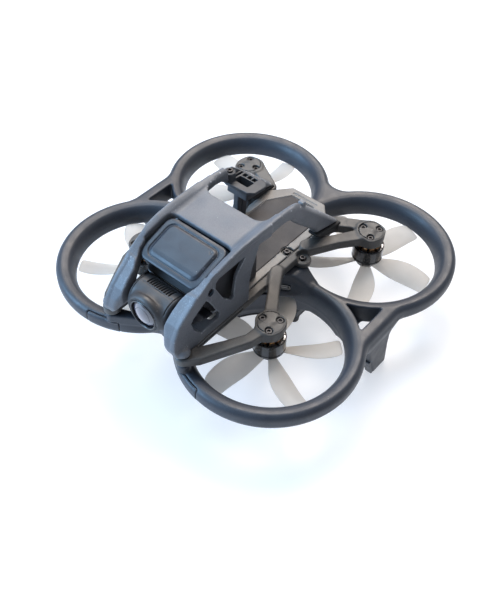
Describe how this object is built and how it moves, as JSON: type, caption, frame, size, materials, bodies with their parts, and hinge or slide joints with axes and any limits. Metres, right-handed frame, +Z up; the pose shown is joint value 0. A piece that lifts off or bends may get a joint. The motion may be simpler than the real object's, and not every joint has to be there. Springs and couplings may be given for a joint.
{
  "type": "ducted camera drone",
  "caption": "Small ducted racing drone with a ringed propeller guard, tilting nose camera, removable-battery bay and bridged upper frame.",
  "frame": {"origin": "on the ground under the middle of the four rotor axes", "axes": "+Z up, the camera faces -Y, the drone's left is +X"},
  "size_m": [0.18, 0.18, 0.0832],
  "materials": {
    "frame_plastic": "satin moulded",
    "guard_plastic": "fine satin",
    "arm_casting": "satin",
    "lid_plastic": "satin gloss",
    "dark_plastic": "matte",
    "deck_plastic": "satin",
    "label": "matte",
    "camera_paint": "satin",
    "lens_trim": "gloss",
    "lens_glass": "coated",
    "screw_steel": "blackened",
    "bell_metal": "gloss black",
    "shaft_steel": "ground",
    "magnet": "plated",
    "copper": "enamelled wire",
    "laminate": "dull",
    "propeller_plastic": "translucent smoke",
    "rubber": "matte",
    "board": "satin",
    "aluminium": "milled",
    "contact": "plated"
  },
  "bodies": {
    "frame": {"upper_frame": "frame_plastic", "head_shell": "dark_plastic", "top_cover": "lid_plastic", "bay_floor": "deck_plastic", "floor_label": "label", "lower_shell": "guard_plastic", "belly_cover": "dark_plastic", "belly_feet": "rubber", "arm_left": "arm_casting", "arm_right": "arm_casting", "guard_left": "guard_plastic", "guard_right": "guard_plastic", "leg_pads": "rubber", "antenna_caps": "dark_plastic", "tip_dampers": "rubber", "rear_foot_pads": "rubber", "power_socket": "dark_plastic", "socket_contacts": "contact", "socket_stand": "dark_plastic", "main_board": "board", "esc_board": "board", "heat_sink": "aluminium", "fan_housing": "dark_plastic", "usb_port": "screw_steel", "card_slot": "screw_steel", "receiver_module": "dark_plastic", "down_sensors": "lens_trim", "gimbal_bracket": "dark_plastic", "gimbal_motor": "bell_metal", "motor_screws": "screw_steel", "guard_screws": "screw_steel", "deck_screws": "screw_steel", "motor_bases": "arm_casting", "motor_stators": "laminate", "motor_windings": "copper", "motor_bearings": "shaft_steel"},
    "camera": {"camera_housing": "camera_paint", "camera_pivot": "shaft_steel", "lens_barrel": "lens_trim", "lens_ring": "lens_trim", "lens_glass": "lens_glass", "image_sensor": "board"},
    "fan": {"fan_rotor": "dark_plastic"},
    "button": {"link_button": "dark_plastic"},
    "rotor_front_left": {"bell_front_left": "bell_metal", "magnets_front_left": "magnet", "shaft_front_left": "shaft_steel", "propeller_front_left": "propeller_plastic"},
    "rotor_front_right": {"bell_front_right": "bell_metal", "magnets_front_right": "magnet", "shaft_front_right": "shaft_steel", "propeller_front_right": "propeller_plastic"},
    "rotor_rear_left": {"bell_rear_left": "bell_metal", "magnets_rear_left": "magnet", "shaft_rear_left": "shaft_steel", "propeller_rear_left": "propeller_plastic"},
    "rotor_rear_right": {"bell_rear_right": "bell_metal", "magnets_rear_right": "magnet", "shaft_rear_right": "shaft_steel", "propeller_rear_right": "propeller_plastic"}
  },
  "joints": [
    {"name": "camera_tilt", "type": "hinge", "parent": "frame", "child": "camera", "pos_m": [0, -0.0735, 0.056], "axis": [1, 0, 0], "range_deg": [-75, 95]},
    {"name": "fan_spin", "type": "hinge", "parent": "frame", "child": "fan", "pos_m": [0, 0, 0.022], "axis": [0, 0, 1], "continuous": true},
    {"name": "button_press", "type": "slide", "parent": "frame", "child": "button", "axis": [0, 0, 1], "range_m": [0, 0.0006], "stiffness_N_per_m": 200},
    {"name": "spin_front_left", "type": "hinge", "parent": "frame", "child": "rotor_front_left", "pos_m": [0.0425, -0.0425, 0.027], "axis": [0, 0, 1], "continuous": true},
    {"name": "spin_front_right", "type": "hinge", "parent": "frame", "child": "rotor_front_right", "pos_m": [-0.0425, -0.0425, 0.027], "axis": [0, 0, 1], "continuous": true},
    {"name": "spin_rear_left", "type": "hinge", "parent": "frame", "child": "rotor_rear_left", "pos_m": [0.0425, 0.0425, 0.027], "axis": [0, 0, 1], "continuous": true},
    {"name": "spin_rear_right", "type": "hinge", "parent": "frame", "child": "rotor_rear_right", "pos_m": [-0.0425, 0.0425, 0.027], "axis": [0, 0, 1], "continuous": true}
  ]
}
